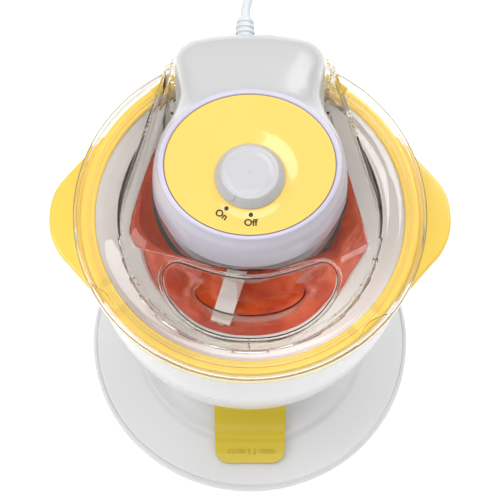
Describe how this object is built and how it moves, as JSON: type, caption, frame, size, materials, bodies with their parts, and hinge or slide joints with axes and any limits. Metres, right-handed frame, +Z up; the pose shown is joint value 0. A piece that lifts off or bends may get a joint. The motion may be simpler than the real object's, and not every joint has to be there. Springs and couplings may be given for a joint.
{
  "type": "ice cream maker",
  "caption": "Table-top ice cream maker: pedestal foot, double-walled freezer bowl with eared ring, clear lid with chute, and a dial-topped motor unit turning a paddle.",
  "frame": {"origin": "centre of the foot on the table", "axes": "+Z up, -Y to the front where the latch tongue is, +X to the right"},
  "size_m": [0.245, 0.4777, 0.296],
  "materials": {
    "shell_grey": "satin moulded plastic",
    "foot_rubber": "matt",
    "steel": "plated",
    "lemon_plastic": "high gloss",
    "canister_plastic": "matt",
    "gel": "sealed gel",
    "bare_aluminium": "brushed",
    "clear_plastic": "clear moulded plastic, polished",
    "bearing_plastic": "self-lubricating plastic",
    "seal_rubber": "silicone",
    "unit_white": "satin moulded plastic",
    "motor_steel": "plated",
    "dark_plastic": "matt",
    "cord_white": "satin",
    "brass": "machined",
    "paddle_plastic": "translucent satin"
  },
  "bodies": {
    "stand": {"foot_shell": "shell_grey", "cradle_cup": "shell_grey", "base_plate": "shell_grey", "latch_guide": "shell_grey", "rubber_foot_1": "foot_rubber", "rubber_foot_2": "foot_rubber", "rubber_foot_3": "foot_rubber", "rubber_foot_4": "foot_rubber", "rubber_foot_5": "foot_rubber", "base_screw_1": "steel", "base_screw_2": "steel", "base_screw_3": "steel", "base_screw_4": "steel"},
    "latch": {"latch_tongue": "lemon_plastic", "latch_shoe": "shell_grey"},
    "bowl": {"bowl_housing": "shell_grey", "bowl_spigot": "shell_grey", "freezer_shell": "canister_plastic", "coolant_gel": "gel", "freezer_core": "bare_aluminium", "handle_ring": "lemon_plastic", "bowl_screw_1": "steel", "bowl_screw_2": "steel", "bowl_screw_3": "steel"},
    "lid": {"clear_lid": "clear_plastic", "filling_chute": "clear_plastic", "spindle_bush": "bearing_plastic", "lid_seal": "seal_rubber"},
    "motor_unit": {"unit_tray": "unit_white", "unit_cover": "unit_white", "fascia_disc": "lemon_plastic", "chassis_plate": "steel", "idler_pin": "steel", "motor": "motor_steel", "switch_body": "dark_plastic", "terminal_block": "dark_plastic", "unit_screw_1": "steel", "unit_screw_2": "steel", "unit_screw_3": "steel", "unit_screw_4": "steel", "cord_gland": "cord_white", "power_cord": "cord_white", "cord_coil": "cord_white", "plug": "cord_white"},
    "dial": {"dial_knob": "unit_white"},
    "pinion": {"motor_pinion": "brass"},
    "idler": {"idler_gear": "bearing_plastic"},
    "spindle": {"drive_spindle": "bearing_plastic"},
    "paddle": {"paddle_hub": "paddle_plastic", "paddle_blade_1": "paddle_plastic", "paddle_blade_2": "paddle_plastic"}
  },
  "joints": [
    {"name": "latch_slide", "type": "slide", "parent": "stand", "child": "latch", "axis": [0, -1, 0], "range_m": [0, 0.008]},
    {"name": "bowl_lift", "type": "slide", "parent": "stand", "child": "bowl", "axis": [0, 0, 1], "range_m": [0, 0.1]},
    {"name": "lid_lift", "type": "slide", "parent": "bowl", "child": "lid", "axis": [0, 0, 1], "range_m": [0, 0.08]},
    {"name": "unit_lift", "type": "slide", "parent": "lid", "child": "motor_unit", "axis": [0, 0, 1], "range_m": [0, 0.08]},
    {"name": "dial_turn", "type": "hinge", "parent": "motor_unit", "child": "dial", "pos_m": [0, 0, 0.29], "axis": [0, 0, 1], "range_deg": [0, 34]},
    {"name": "paddle_spin", "type": "hinge", "parent": "bowl", "child": "paddle", "pos_m": [0, 0, 0.15], "axis": [0, 0, 1], "continuous": true},
    {"name": "spindle_spin", "type": "hinge", "parent": "motor_unit", "child": "spindle", "pos_m": [0, 0, 0.24], "axis": [0, 0, 1], "continuous": true},
    {"name": "idler_spin", "type": "hinge", "parent": "motor_unit", "child": "idler", "pos_m": [0, 0.026, 0.245], "axis": [0, 0, 1], "continuous": true},
    {"name": "pinion_spin", "type": "hinge", "parent": "motor_unit", "child": "pinion", "pos_m": [0, 0.062, 0.25], "axis": [0, 0, 1], "continuous": true}
  ],
  "couplings": [
    {"joint": "spindle_spin", "follows": "paddle_spin", "ratio": 1},
    {"joint": "idler_spin", "follows": "paddle_spin", "ratio": -2.7143},
    {"joint": "pinion_spin", "follows": "paddle_spin", "ratio": 13.571}
  ]
}
